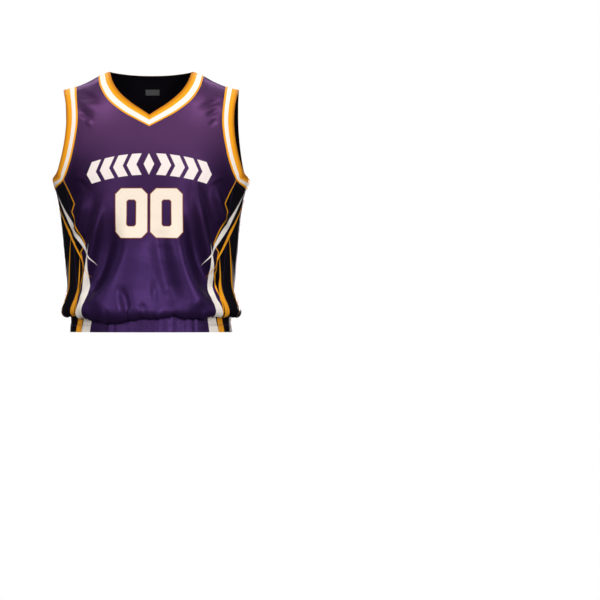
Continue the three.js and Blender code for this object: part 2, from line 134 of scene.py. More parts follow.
# Folds as ridges (positive height) and hollows along a bent line of (distance to the wearer's left, drop).
# inner and outer are a fold's half breadths, towards the centre and away from it.
main_folds = [
    # facing, height, inner, outer, line
    (FRONT, 11, 22, 10, [(-158, 290), (-170, 355), (-182, 410)]),
    (FRONT, 16, 11, 14, [(-108, 300), (-134, 420), (-164, 560)]),
    (FRONT, 26, 100, 28, [(-46, 330), (-64, 480), (-148, 594)]),
    (FRONT, -12, 18, 24, [(-84, 340), (-106, 470), (-140, 556)]),
    (FRONT, -8, 22, 22, [(20, 350), (34, 460), (58, 560)]),
    (FRONT, -7, 11, 11, [(-66, 530), (-58, 570), (-50, 604)]),
    (FRONT, 22, 44, 22, [(68, 330), (84, 480), (137, 594)]),
    (FRONT, -12, 18, 20, [(96, 340), (116, 470), (162, 562)]),
    (FRONT, 16, 16, 12, [(112, 250), (131, 385), (160, 510)]),
    (FRONT, 11, 13, 10, [(158, 265), (172, 330), (184, 380)]),
    (FRONT, -3.8, 9, 9, [(-186, 48), (-152, 64), (-107, 86)]),
    (FRONT, -3.8, 9, 9, [(-182, 94), (-160, 110), (-135, 130)]),
    (FRONT, 2.6, 12, 12, [(-178, 74), (-152, 90), (-120, 106)]),
    (FRONT, -3.8, 9, 9, [(184, 70), (150, 84), (112, 105)]),
    (FRONT, -3.5, 8, 8, [(178, 92), (156, 106), (137, 124)]),
    (BACK, 13, 22, 12, [(132, 190), (158, 350), (180, 500)]),
    (BACK, 16, 12, 44, [(104, 340), (107, 480), (168, 596)]),
    (BACK, -9, 13, 13, [(86, 340), (90, 470), (98, 580)]),
    (BACK, 12, 36, 17, [(60, 330), (62, 450), (66, 560)]),
    (BACK, 9, 24, 24, [(66, 600), (22, 560), (-52, 606)]),
    (BACK, -7, 11, 11, [(-4, 548), (-38, 574), (-62, 606)]),
    (BACK, 20, 42, 20, [(-78, 320), (-92, 470), (-170, 596)]),
    (BACK, -9, 18, 20, [(-108, 340), (-122, 470), (-156, 556)]),
    (BACK, 14, 16, 12, [(-132, 240), (-150, 400), (-174, 500)]),
    (BACK, 8, 14, 10, [(-172, 200), (-180, 262), (-189, 325)]),
    (BACK, -10, 38, 38, [(-4, 340), (-14, 450), (-34, 560)]),
    (BACK, -3.6, 9, 9, [(178, 92), (164, 108), (149, 131)]),
]

# Smaller creases, in the same columns
small_folds = [
    (FRONT, -2, 6, 6, [(-176, 64), (-160, 72), (-141, 78)]),
    (FRONT, 1.8, 6, 6, [(-160, 122), (-148, 134), (-140, 150)]),
    (FRONT, -2, 6, 6, [(170, 120), (158, 130), (144, 146)]),
    (FRONT, 1.8, 7, 7, [(-188, 262), (-172, 268), (-150, 286)]),
    (FRONT, -2, 7, 7, [(-182, 274), (-164, 284), (-146, 306)]),
    (FRONT, 1.8, 7, 7, [(188, 262), (170, 270), (146, 284)]),
    (FRONT, -2, 7, 7, [(180, 276), (160, 288), (144, 312)]),
    (FRONT, -2.5, 6, 6, [(-26, 578), (-14, 590), (-8, 606)]),
    (FRONT, -2, 7, 7, [(-102, 440), (-118, 500), (-150, 560)]),
    (FRONT, 2, 8, 8, [(112, 470), (136, 520), (170, 556)]),
    (FRONT, -2, 8, 8, [(8, 520), (14, 556), (12, 600)]),
    (BACK, -2, 6, 6, [(168, 66), (150, 74), (128, 80)]),
    (BACK, -2, 6, 6, [(-170, 62), (-150, 72), (-124, 80)]),
    (BACK, 1.8, 7, 7, [(186, 262), (168, 270), (148, 288)]),
    (BACK, -2, 7, 7, [(-184, 268), (-164, 280), (-146, 304)]),
    (BACK, 2, 8, 8, [(-112, 470), (-138, 530), (-172, 566)]),
    (BACK, -2, 8, 8, [(120, 450), (130, 510), (166, 560)]),
    (BACK, 2, 8, 8, [(-30, 440), (-44, 510), (-84, 590)]),
]
FOLD_STEPS = 10
FOLD_FADE_IN = 0.45
FOLD_FADE_OUT = 0.12
FOLD_END_HEIGHT = 0.5
CREASE_HEIGHT = 5
CREASE_FADE_OUT = 0.6


def smooth(rows, by, column, at):
    """Smooth curve through a table: one column where another reaches at."""
    x, y = rows[by], rows[column]
    at = np.asarray(at, float)
    low = np.clip(np.searchsorted(x, at, side="right") - 1, 0, len(x) - 2)
    before, after = np.maximum(np.arange(len(x)) - 1, 0), np.minimum(np.arange(len(x)) + 1, len(x) - 1)
    slope = (y[after] - y[before]) / (x[after] - x[before])
    span = x[low + 1] - x[low]
    t = (at - x[low]) / span
    ends = (1 + 2 * t) * (1 - t) ** 2 * y[low] + t * t * (3 - 2 * t) * y[low + 1]
    return ends + span * (t * (1 - t) ** 2 * slope[low] + t * t * (t - 1) * slope[low + 1])


def ramp(value, low, high):
    """0 below low, 1 above high and smooth between."""
    t = np.clip((np.asarray(value, float) - low) / (high - low), 0, 1)
    return t * t * (3 - 2 * t)


def mix(start, end, t):
    return start + (end - start) * t


def half_width_at(level):
    level = np.asarray(level, float)
    return np.where(level <= 1, CHEST_HALF_WIDTH, smooth(sections, "level", "half_width", np.maximum(level, 1)))


def level_at(across, drop, facing):
    """Level of a drop: 0 on the shoulder line, 1 at the armpit, and then a row of the section table."""
    across, drop = np.broadcast_arrays(np.asarray(across, float), np.asarray(drop, float))
    below = np.linspace(1, ROLL_LEVEL - 1, 4001)
    lower = np.interp(drop, smooth(sections, "level", "drop", below), below)
    top = smooth(shoulder_line, "across", "drop", np.abs(across))
    left = np.clip((CHEST_DROP - drop) / (CHEST_DROP - top), 0, 1)
    upper = np.arccos(left ** (ROUNDNESS[facing] / 2)) / (math.pi / 2)
    return np.where(drop >= CHEST_DROP, lower, upper)


def angle_at(across, level, facing):
    """Angle round the section, in degrees: 0 at the wearer's left side and 90 at the centre front."""
    share = np.minimum(np.abs(across) / half_width_at(level), 1) ** (SECTION_ROUNDNESS / 2)
    return facing * np.degrees(np.arccos(np.sign(across) * share))


def across_at(angle, level):
    cosine = np.cos(np.radians(angle))
    return np.sign(cosine) * half_width_at(level) * np.abs(cosine) ** (2 / SECTION_ROUNDNESS)


def body_points(angle, level):
    """Points on the jersey without its folds, as an array with the three coordinates last."""
    angle, level = np.broadcast_arrays(np.asarray(angle, float), np.asarray(level, float))
    sine = np.sin(np.radians(angle))
    facing = np.where(sine >= 0, FRONT, BACK)
    x = across_at(angle, level)
    bulge = np.abs(sine) ** (2 / SECTION_ROUNDNESS)
    row = np.maximum(level, 1)
    depth = np.where(facing == FRONT, *(smooth(sections, "level", DEPTH[f], row) for f in (FRONT, BACK)))
    power = np.where(facing == FRONT, 2 / ROUNDNESS[FRONT], 2 / ROUNDNESS[BACK])
    turn = np.clip(level, 0, 1) * math.pi / 2
    top = smooth(shoulder_line, "across", "drop", np.abs(x))
    closing = mix(CHEST_DROP, top, np.maximum(np.cos(turn), 0) ** power)
    drop = np.where(level < 1, closing, smooth(sections, "level", "drop", row))
    depth = np.where(level < 1, depth * np.sin(turn) ** power, depth)
    return np.stack([x, -facing * depth * bulge, NECK_POINT_HEIGHT - drop], axis=-1)


def outward(angle, level):
    """Unit vectors straight out of the cloth."""
    turn, step = 0.4, 0.004
    around = body_points(angle + turn, level) - body_points(angle - turn, level)
    down = body_points(angle, np.minimum(level + step, HEM_LEVEL)) - body_points(angle, np.maximum(level - step, 0))
    normal = np.cross(around, down)
    return normal / np.linalg.norm(normal, axis=-1, keepdims=True)


def fold_line(facing, line):
    """Points of a fold's middle line, laid on the body: a curve through its start, middle and end."""
    start, middle, end = (np.array(p, float) for p in line)
    control = 2 * middle - (start + end) / 2
    t = np.linspace(0, 1, FOLD_STEPS + 1)[:, None]
    flat = (1 - t) ** 2 * start + 2 * t * (1 - t) * control + t * t * end
    level = level_at(flat[:, 0], flat[:, 1], facing)
    return body_points(angle_at(flat[:, 0], level, facing), level)


def raised_by(points, line, height, inner, outer):
    """How far one fold raises each point."""
    raised = np.zeros(len(points))
    reach = 3 * max(inner, outer)
    near = np.all((points > line.min(0) - reach) & (points < line.max(0) + reach), axis=1)
    if not near.any():
        return raised
    close = points[near]
    best = np.full(len(close), np.inf)
    along = np.zeros(len(close))
    inward = np.zeros(len(close))
    towards_centre = -np.sign(line[FOLD_STEPS // 2, 0])
    for step in range(FOLD_STEPS):
        start, way = line[step], line[step + 1] - line[step]
        part = np.clip((close - start) @ way / (way @ way), 0, 1)
        off = close - start - part[:, None] * way
        distance = np.linalg.norm(off, axis=1)
        nearer = distance < best
        best = np.where(nearer, distance, best)
        along = np.where(nearer, (step + part) / FOLD_STEPS, along)
        inward = np.where(nearer, off[:, 0] * towards_centre, inward)
    breadth = np.where(inward > 0, inner, outer)
    if abs(height) < CREASE_HEIGHT:
        tail = ramp(1 - along, 0, CREASE_FADE_OUT)
    else:
        tail = mix(FOLD_END_HEIGHT, 1, ramp(1 - along, 0, FOLD_FADE_OUT))
    ends = ramp(along, 0, FOLD_FADE_IN) * tail
    raised[near] = height * np.exp(-((best / breadth) ** 2)) * ends
    return raised


FOLD_LINES = [(fold_line(facing, line), *shape) for facing, *shape, line in main_folds + small_folds]


# Girth: distance round the cloth from the centre front or back, on a section of usual proportions
USUAL_HALF_WIDTH, USUAL_DEPTH = 222, 122
_share = np.sin(np.linspace(0, math.pi / 2, 2001))
_depth = USUAL_DEPTH * (1 - _share ** SECTION_ROUNDNESS) ** (1 / SECTION_ROUNDNESS)
_girth = np.concatenate([[0], np.cumsum(np.hypot(np.diff(_share * USUAL_HALF_WIDTH), np.diff(_depth)))])


def girth_at(angle, level):
    """Signed distance from the centre front or back, and distance inwards from the side seam."""
    share = np.abs(np.cos(np.radians(angle))) ** (2 / SECTION_ROUNDNESS)
    scale = half_width_at(level) / USUAL_HALF_WIDTH
    seam_share = math.cos(math.radians(SIDE_SEAM_ANGLE)) ** (2 / SECTION_ROUNDNESS)
    girth = np.interp(share, _share, _girth) * scale
    seam = np.interp(seam_share, _share, _girth) * scale
    return girth * np.sign(np.cos(np.radians(angle))), seam - girth


# Length of cloth from the armpit line down to each level, at each angle
_angles = np.linspace(-180, 180, 361)
_levels = np.linspace(0, HEM_LEVEL, 341)
_steps = np.linalg.norm(np.diff(body_points(_angles[:, None], _levels), axis=1), axis=2)
_length = np.concatenate([np.zeros((len(_angles), 1)), np.cumsum(_steps, axis=1)], axis=1)
_length -= _length[:, [np.searchsorted(_levels, 1)]]


def length_at(angle, level):
    """Length of cloth below the armpit line, between the rows and columns of the table above."""
    column = np.clip((angle + 180) / (_angles[1] - _angles[0]), 0, len(_angles) - 1.001)
    row = np.clip(level / (_levels[1] - _levels[0]), 0, len(_levels) - 1.001)
    i, j = column.astype(int), row.astype(int)
    upper = mix(_length[i, j], _length[i, j + 1], row - j)
    lower = mix(_length[i + 1, j], _length[i + 1, j + 1], row - j)
    return mix(upper, lower, column - i)


# Gathers where the waist draws the cloth in: place round the body, half breadth, height and how far up they reach
GATHERS = 38
GATHER_SEED = 11
half_girth = _girth[-1]
_random = np.random.default_rng(GATHER_SEED)
gathers = [
    (
        (number + _random.uniform(-0.35, 0.35)) * 4 * half_girth / GATHERS - 2 * half_girth,
        _random.uniform(4.5, 9),
        _random.uniform(1.6, 4.6) * _random.choice([1, -1]),
        _random.uniform(0.8, 2.4),
    )
    for number in range(GATHERS)
]
GATHERS_END = 15.8


def gather_height(angle, level):
    """Height of the waist's gathers, which fade upwards and towards the hem."""
    girth, _ = girth_at(angle, 11)
    girth = girth * USUAL_HALF_WIDTH / half_width_at(11)
    around = np.where(angle >= 0, girth, np.where(girth >= 0, 2 * half_girth - girth, -2 * half_girth - girth))
    total = np.zeros(len(angle))
    for place, width, height, reach in gathers:
        apart = (around - place + 2 * half_girth) % (4 * half_girth) - 2 * half_girth
        shape = np.exp(-((apart / width) ** 2))
        total += height * shape * ramp(level, ROLL_LEVEL - reach, ROLL_LEVEL + 0.5)
    return total * (1 - 0.75 * ramp(level, WAIST_LEVEL - 1, GATHERS_END))


HEM_TURN = 0.9
HEM_DEPTH = 20


def fold_height(points, angle, level):
    """Height of the folds over the body, which fade out where the cloth turns under at the waist."""
    fade = 1 - ramp(level, ROLL_LEVEL + 0.5, WAIST_LEVEL - 1)
    folds = fade * sum(raised_by(points, *fold) for fold in FOLD_LINES)
    to_hem = (HEM_LEVEL - level) * 20
    hem = HEM_TURN * (1 - ramp(to_hem, HEM_DEPTH - 1.5, HEM_DEPTH + 1))
    return folds + gather_height(angle, level) + hem


class Grid:
    """A grid of places on the jersey, with what a mesh needs at each."""

    def __init__(self, angle, level):
        self.shape = angle.shape
        self.angle, self.level = angle.ravel(), level.ravel()
        self.point = body_points(self.angle, self.level)
        self.normal = outward(self.angle, self.level)
        self.rise = fold_height(self.point, self.angle, self.level)
        girth, inward = girth_at(self.angle, self.level)
        self.place = np.stack([girth, NECK_POINT_HEIGHT - self.point[:, 2], inward], axis=-1)
        self.grain = np.stack([girth, length_at(self.angle, self.level), np.zeros(len(girth))], axis=-1)


KEPT_VALUES = ("point", "normal", "rise", "place", "grain")


def joined(grids):
    """Vertices and quads of grids that meet where they share points."""
    key = np.round(np.concatenate([g.point for g in grids]) * 1000).astype(np.int64)
    _, first, index = np.unique(key, axis=0, return_index=True, return_inverse=True)
    index = index.ravel()
    values = {n: np.concatenate([getattr(g, n) for g in grids])[first] for n in KEPT_VALUES}
    quads, start = [], 0
    for grid in grids:
        at = index[start:start + grid.shape[0] * grid.shape[1]].reshape(grid.shape)
        start += at.size
        quads.append(np.stack([at[:-1, :-1], at[1:, :-1], at[1:, 1:], at[:-1, 1:]], axis=-1).reshape(-1, 4))
    quads = np.concatenate(quads)
    p = values["point"]
    facing = np.cross(p[quads[:, 2]] - p[quads[:, 0]], p[quads[:, 3]] - p[quads[:, 1]])
    inside_out = np.einsum("ij,ij->i", facing, values["normal"][quads[:, 0]]) < 0
    quads[inside_out] = quads[inside_out][:, ::-1]
    return values, quads


def rim_edges(quads, count):
    """Directed edges that only one quad uses."""
    edges = np.stack([quads, np.roll(quads, -1, axis=1)], axis=-1).reshape(-1, 2)
    there, back = edges[:, 0] * count + edges[:, 1], edges[:, 1] * count + edges[:, 0]
    return edges[~np.isin(there, back)]


def inset(values, edges):
    """Moves each open edge back by half the seam gap, across the edge and within the cloth."""
    point, normal = values["point"], values["normal"]
    along = point[edges[:, 1]] - point[edges[:, 0]]
    total = np.zeros_like(point)
    for end in (0, 1):
        across = np.cross(normal[edges[:, end]], along)
        across /= np.linalg.norm(across, axis=1, keepdims=True)
        np.add.at(total, edges[:, end], across)
    square = np.maximum(np.einsum("ij,ij->i", total, total), 0.5)
    values["point"] = point + total / square[:, None] * SEAM_GAP


SHARP_ANGLE = math.radians(55)


def shell(name, grids, wall, materials, lift=0.0, swell=None):
    """Closed wall of cloth: outer and inner skins and a rim. The inner skin takes the second material.

    swell, where given, is each point's share of the wall's thickness."""
    values, quads = joined(grids)
    count = len(values["point"])
    edges = rim_edges(quads, count)
    inset(values, edges)
    half = wall / 2 * (np.ones(count) if swell is None else swell(values["place"]))
    middle = values["rise"] + lift
    skins = [values["point"] + values["normal"] * (middle + side * half)[:, None] for side in (1, -1)]
    rim = np.stack([edges[:, 1], edges[:, 0], edges[:, 0] + count, edges[:, 1] + count], axis=-1)
    faces = np.concatenate([quads, quads[:, ::-1] + count, rim])
    mesh = bpy.data.meshes.new(name)
    mesh.from_pydata((np.concatenate(skins) * MM).tolist(), [], faces.tolist())
    for attribute in ("place", "grain"):
        stored = mesh.attributes.new(attribute, "FLOAT_VECTOR", "POINT")
        stored.data.foreach_set("vector", np.concatenate([values[attribute]] * 2).astype(np.float32).ravel())
    mesh.polygons.foreach_set("use_smooth", np.ones(len(faces), bool))
    slots = np.zeros(len(faces), np.int32)
    slots[len(quads):2 * len(quads)] = len(materials) - 1
    mesh.polygons.foreach_set("material_index", slots)
    for material in materials:
        mesh.materials.append(material)
    mesh.update()
    mesh.set_sharp_from_angle(angle=SHARP_ANGLE)
    made = bpy.data.objects.new(name, mesh)
    bpy.context.scene.collection.objects.link(made)
    return made


# How finely each stretch is divided
HALF_COLUMNS = 62
STRAP_COLUMNS = 24
BACK_NECK_COLUMNS = 40
SIDE_COLUMNS = 44
NECK_ROWS = 56
CHEST_ROWS = 34
BACK_ROWS = 78
ARMPIT_ROWS = 20
BODY_ROWS = 48
BLOUSE_ROWS = 26
TURN_ROWS = 16
TAIL_ROWS = 8
BAND_COLUMNS = 14


def arm_seam(row):
    return smooth(armhole, "row", "seam", row), smooth(armhole, "row", "seam_drop", row)


def arm_edge(row):
    return smooth(armhole, "row", "edge", row), smooth(armhole, "row", "edge_drop", row)


def level_of(angle, drop):
    """Level of places given by their angle and drop."""
    across = across_at(angle, 1)
    return np.where(angle >= 0, level_at(across, drop, FRONT), level_at(across, drop, BACK))


CORNER_LEVEL = float(level_of(*arm_seam(FRONT_CORNER)))


def arm_row_at(level, facing):
    """Row of the armhole table where its seam is at a level, on the front or on the back."""
    rows = np.linspace(0, FRONT_CORNER, 2001) if facing == FRONT else np.linspace(ARM_END, BACK_CORNER, 2001)
    levels = level_of(*arm_seam(rows))
    levels[0] = 0
    return np.interp(level, levels, rows)


def panel_reach(level, facing):
    """Half breadth of the front or back panel: to the armhole seam, or to the side seam below it."""
    level = np.asarray(level, float)
    angle, _ = arm_seam(arm_row_at(np.minimum(level, CORNER_LEVEL), facing))
    return np.where(level >= CORNER_LEVEL, across_at(SIDE_SEAM_ANGLE, level), across_at(angle, level))


def run(start, end, count):
    """Levels after start up to end, evenly spaced."""
    return np.linspace(start, end, count + 1)[1:]


armpit_levels = run(CORNER_LEVEL, ARMPIT_LEVEL, ARMPIT_ROWS)
body_levels = np.concatenate([
    run(ARMPIT_LEVEL, BLOUSE_LEVEL, BODY_ROWS),
    run(BLOUSE_LEVEL, ROLL_LEVEL + 1, BLOUSE_ROWS),
    run(ROLL_LEVEL + 1, WAIST_LEVEL, TURN_ROWS),
    run(WAIST_LEVEL, HEM_LEVEL, TAIL_ROWS),
])

neck_steps = np.linspace(0, len(front_neck["row"]) - 1, NECK_ROWS + 1)
neck_across = smooth(front_neck, "row", "seam", neck_steps)
neck_levels = level_at(neck_across, smooth(front_neck, "row", "seam_drop", neck_steps), FRONT)
neck_levels[0] = 0
CORNER_DROP = float(arm_seam(FRONT_CORNER)[1])
chest_levels = level_at(0, run(front_neck["seam_drop"][-1], CORNER_DROP, CHEST_ROWS), FRONT)
chest_levels[-1] = CORNER_LEVEL


def front_grids():
    """The two halves of the front, which part at the neck."""
    levels = np.concatenate([neck_levels, chest_levels, armpit_levels, body_levels])
    inner = np.concatenate([neck_across, np.zeros(len(levels) - len(neck_across))])
    t = np.linspace(0, 1, HALF_COLUMNS + 1)
    across = mix(inner[:, None], panel_reach(levels, FRONT)[:, None], t)
    level = np.broadcast_to(levels[:, None], across.shape)
    return [Grid(angle_at(side * across, level, FRONT), level) for side in (1, -1)]


back_steps = np.linspace(len(back_neck["row"]) - 1, 0, BACK_NECK_COLUMNS + 1)
back_neck_across = smooth(back_neck, "row", "seam", back_steps)
back_neck_levels = level_at(back_neck_across, smooth(back_neck, "row", "seam_drop", back_steps), BACK)
back_neck_levels[-1] = 0
SHOULDER_END = float(panel_reach(0, BACK))
back_top_across = np.concatenate([back_neck_across, run(back_neck_across[-1], SHOULDER_END, STRAP_COLUMNS)])
back_top_levels = np.concatenate([back_neck_levels, np.zeros(STRAP_COLUMNS)])
back_arm_levels = np.linspace(0, CORNER_LEVEL, BACK_ROWS + 1)


def back_grids():
    """The two halves of the back, each from the neck and shoulder seams down."""
    share = back_top_across / SHOULDER_END
    upper_level = mix(back_top_levels, CORNER_LEVEL, (back_arm_levels / CORNER_LEVEL)[:, None])
    lower = np.concatenate([armpit_levels, body_levels])
    lower_level = np.broadcast_to(lower[:, None], (len(lower), len(share)))
    level = np.concatenate([upper_level, lower_level])
    reach = panel_reach(np.concatenate([back_arm_levels, lower]), BACK)
    across = share * reach[:, None]
    return [Grid(angle_at(side * across, level, BACK), level) for side in (1, -1)]


def mirrored(angle, side):
    return angle if side > 0 else np.where(angle >= 0, 180 - angle, -180 - angle)


under_arm = np.linspace(FRONT_CORNER, BACK_CORNER, SIDE_COLUMNS + 1)


def side_grid(side):
    """Side panel, from the armhole down, between the front and back side seams."""
    angle, drop = arm_seam(under_arm)
    top = level_of(angle, drop)
    share = np.linspace(0, 1, ARMPIT_ROWS + 1)[:, None]
    level = np.concatenate([
        mix(top, ARMPIT_LEVEL, share),
        np.broadcast_to(body_levels[:, None], (len(body_levels), len(angle))),
    ])
    return Grid(mirrored(np.broadcast_to(angle, level.shape), side), level)


def band_places(points):
    """Place on a band: distance along it and share of the way from the sewn to the free edge."""
    steps = np.linalg.norm(np.diff(points[:, 0], axis=0), axis=1)
    along = np.concatenate([[0], np.cumsum(steps)])
    share = np.linspace(0, 1, points.shape[1])
    return np.stack([*np.meshgrid(along, share, indexing="ij"), np.zeros(points.shape[:2])], -1).reshape(-1, 3)


# Shares across a band, closer together at the free edge, which is rounded
BAND_SHARES = np.sin(np.linspace(0, math.pi / 2, BAND_COLUMNS + 1))


def arm_grid(side):
    """Armhole band, all round, from its sewn to its free edge."""
    front = np.concatenate([neck_levels, chest_levels])[:-1]
    rows = np.concatenate([
        arm_row_at(front, FRONT), under_arm, arm_row_at(back_arm_levels[:-1][::-1], BACK),
    ])
    (seam, seam_drop), (edge, edge_drop) = arm_seam(rows), arm_edge(rows)
    seam_level, edge_level = level_of(seam, seam_drop), level_of(edge, edge_drop)
    for level in (seam_level, edge_level):
        level[[0, -1]] = 0
    angle = mix(seam[:, None], edge[:, None], BAND_SHARES)
    level = mix(seam_level[:, None], edge_level[:, None], BAND_SHARES)
    grid = Grid(mirrored(angle, side), level)
    grid.place = band_places(grid.point.reshape(*angle.shape, 3))
    grid.place[:, 1] = np.tile(BAND_SHARES, len(rows))
    return grid


def neck_grids():
    """Neckband: for each side a front and a back stretch, mitred at the V."""
    grids = []
    for side in (1, -1):
        for rows, steps, facing in ((front_neck, neck_steps, FRONT), (back_neck, back_steps[::-1], BACK)):
            across = [smooth(rows, "row", kind, steps) for kind in ("seam", "edge")]
            drops = [smooth(rows, "row", kind + "_drop", steps) for kind in ("seam", "edge")]
            levels = [level_at(a, d, facing) for a, d in zip(across, drops)]
            levels[0][0] = levels[1][0] = 0
            place_across = mix(across[0][:, None], across[1][:, None], BAND_SHARES)
            level = mix(levels[0][:, None], levels[1][:, None], BAND_SHARES)
            grid = Grid(angle_at(side * place_across, level, facing), level)
            grid.place = band_places(grid.point.reshape(*level.shape, 3))
            grid.place[:, 1] = np.tile(BAND_SHARES, len(steps))
            grids.append(grid)
    return grids


def rounded_band(place):
    """A band's thickness: full, and rounded off at its free edge."""
    return np.sqrt(np.clip(1 - ramp(place[:, 1], 0.9, 1) ** 2, 0.02, 1))


def label_grid():
    """Small plain label inside the back, just under the neckband."""
    across = np.linspace(-17.5, 17.5, 30)
    drop = np.linspace(39, 53, 14)[:, None]
    level = level_at(across, drop, BACK)
    return Grid(angle_at(across, level, BACK), level)


# Materials. Colours are sRGB hex values.
def linear(code):
    """Linear colour of an sRGB hex value."""
    parts = [int(code[i:i + 2], 16) / 255 for i in (1, 3, 5)]
    return [c / 12.92 if c <= 0.04045 else ((c + 0.055) / 1.055) ** 2.4 for c in parts] + [1.0]


def add(tree, kind, settings, *links):
    """Adds a node, of shading unless kind is a whole name. settings is its operation or a dict of properties.

    A dict among the links names inputs."""
    made = tree.nodes.new(kind if "Node" in kind else "ShaderNode" + kind)
    for name, value in (settings if isinstance(settings, dict) else {"operation": settings}).items():
        setattr(made, name, value)
    pairs = [pair for i, link in enumerate(links)
             for pair in (link.items() if isinstance(link, dict) else [(i, link)])]
    for key, value in pairs:
        if isinstance(value, bpy.types.NodeSocket):
            tree.links.new(value, made.inputs[key])
        elif value is not None:
            made.inputs[key].default_value = value
    return made.outputs[0] if made.outputs else None


def paint(tree, under, mask, colour):
    """Colour laid over another where the mask is 1."""
    over = colour if isinstance(colour, bpy.types.NodeSocket) else linear(colour)
    made = add(tree, "Mix", {"data_type": "RGBA"}, {0: mask, 6: under, 7: over})
    return made.node.outputs[2]


EDGE_SOFTNESS = 0.35


def inside(tree, distance):
    """1 inside a shape, from its signed distance in millimetres."""
    return add(tree, "Math", {"operation": "MULTIPLY_ADD", "use_clamp": True}, distance, -1 / EDGE_SOFTNESS, 0.5)


def chamfered_box(tree, x, y, half_width, half_height, chamfer):
    """Signed distance to a rectangle with cut corners, from the absolute values of x and y."""
    side = add(tree, "Math", "SUBTRACT", x, half_width)
    top = add(tree, "Math", "SUBTRACT", y, half_height)
    both = add(tree, "Math", "ADD", x, y)
    corner = add(tree, "Math", "MULTIPLY_ADD", both, math.sqrt(0.5),
                 -(half_width + half_height - chamfer) * math.sqrt(0.5))
    return add(tree, "Math", "MAXIMUM", add(tree, "Math", "MAXIMUM", side, top), corner)


def double_zero(tree, girth, drop, middle, half_width, half_height, stroke, chamfer, gap):
    """Signed distance to a pair of block zeros."""
    x = add(tree, "Math", "SUBTRACT", add(tree, "Math", "ABSOLUTE", girth), half_width + gap / 2)
    x = add(tree, "Math", "ABSOLUTE", x)
    y = add(tree, "Math", "ABSOLUTE", add(tree, "Math", "SUBTRACT", drop, middle))
    outer = chamfered_box(tree, x, y, half_width, half_height, chamfer)
    hole = chamfered_box(tree, x, y, half_width - stroke, half_height - stroke, chamfer / 3)
    return add(tree, "Math", "MAXIMUM", outer, add(tree, "Math", "MULTIPLY", hole, -1.0))


def chevron_row(tree, girth, drop, middle, radius, start, end, half_height, pitch, bar, slant, diamond):
    """Signed distance to an arched row of chevrons that point away from a diamond at the centre."""
    square = add(tree, "Math", "MULTIPLY", girth, girth)
    sag = add(tree, "Math", "DIVIDE", square, 2 * radius)
    y = add(tree, "Math", "SUBTRACT", add(tree, "Math", "SUBTRACT", drop, middle), sag)
    y = add(tree, "Math", "ABSOLUTE", y)
    flat = add(tree, "Math", "ABSOLUTE", girth)
    x = add(tree, "Math", "SUBTRACT", add(tree, "Math", "MULTIPLY_ADD", y, slant, flat), start)
    wave = add(tree, "Math", "PINGPONG", add(tree, "Math", "SUBTRACT", x, bar / 2), pitch / 2)
    shape = add(tree, "Math", "SUBTRACT", wave, bar / 2)
    ends = add(tree, "Math", "MAXIMUM", add(tree, "Math", "MULTIPLY", x, -1.0),
               add(tree, "Math", "SUBTRACT", x, end - start))
    shape = add(tree, "Math", "MAXIMUM", shape, add(tree, "Math", "SUBTRACT", y, half_height))
    shape = add(tree, "Math", "MAXIMUM", shape, ends)
    middle_shape = lozenge(tree, flat, y, diamond, half_height)
    return add(tree, "Math", "MINIMUM", shape, middle_shape)


def lozenge(tree, x, y, half_width, half_height):
    """Signed distance to an upright diamond, from the absolute values of x and y."""
    slope = half_width / half_height
    reach = add(tree, "Math", "MULTIPLY_ADD", y, slope, x)
    return add(tree, "Math", "MULTIPLY_ADD", reach, 1 / math.hypot(1, slope), -half_width / math.hypot(1, slope))


def blade(tree, x, y, root, tip, root_width, tip_width):
    """Signed distance to a straight blade whose width changes evenly from its root to its tip."""
    length = math.dist(root, tip)
    way = ((tip[0] - root[0]) / length, (tip[1] - root[1]) / length)
    dx = add(tree, "Math", "SUBTRACT", x, root[0])
    dy = add(tree, "Math", "SUBTRACT", y, root[1])
    along = add(tree, "Math", "MULTIPLY_ADD", dx, way[0], add(tree, "Math", "MULTIPLY", dy, way[1]))
    off = add(tree, "Math", "MULTIPLY_ADD", dx, -way[1], add(tree, "Math", "MULTIPLY", dy, way[0]))
    off = add(tree, "Math", "ABSOLUTE", off)
    half = add(tree, "Math", "MULTIPLY_ADD", along, (tip_width - root_width) / 2 / length, root_width / 2)
    side = add(tree, "Math", "SUBTRACT", off, half)
    ends = add(tree, "Math", "MAXIMUM", add(tree, "Math", "MULTIPLY", along, -1.0),
               add(tree, "Math", "SUBTRACT", along, length))
    return add(tree, "Math", "MAXIMUM", side, ends)


# Purples and black of the print; the top purples also carry painted highlight, and the two darkest purples carry
# painted shade.
PLUM, GRAPE, PAINTED_SHADE_PURPLE, VIOLET, DEEP_VIOLET, BLACK = "#50325c", "#482e64", "#2f1b40", "#372352", "#1f1030", "#0f0d15"
GOLD, SHADED_GOLD, WHITE = "#eda11c", "#b06c10", "#e9e6e3"
CREAM, PEARL, BROWN = "#f2e8dc", "#efe8ea", "#8a4a14"

# Inner edge of the black side, as (drop, distance in from the side seam): straight facets
black_edge = [(262, -4), (332, 20), (352, 8), (432, 40), (452, 24), (508, 34), (560, 14), (650, 18)]
PIPING = 3.6

# Blades over it, in (distance in from the side seam, drop): colour, root, tip and the widths at both
side_blades = [
    (WHITE, (20, 655), (52, 428), 27, 0),
    (GOLD, (-3, 655), (20, 462), 20, 0),
    (WHITE, (8, 392), (66, 486), 15, 0),
    (WHITE, (8, 392), (-52, 300), 15, 0),
    (GOLD, (-9, 402), (50, 516), 9, 0),
    (GOLD, (-9, 402), (-60, 324), 9, 0),
    (GOLD, (-30, 520), (-4, 410), 7, 0),
    (GOLD, (-30, 520), (-62, 640), 7, 0),
    (WHITE, (-48, 560), (-26, 470), 5, 0),
    (WHITE, (-48, 560), (-74, 650), 5, 0),
]


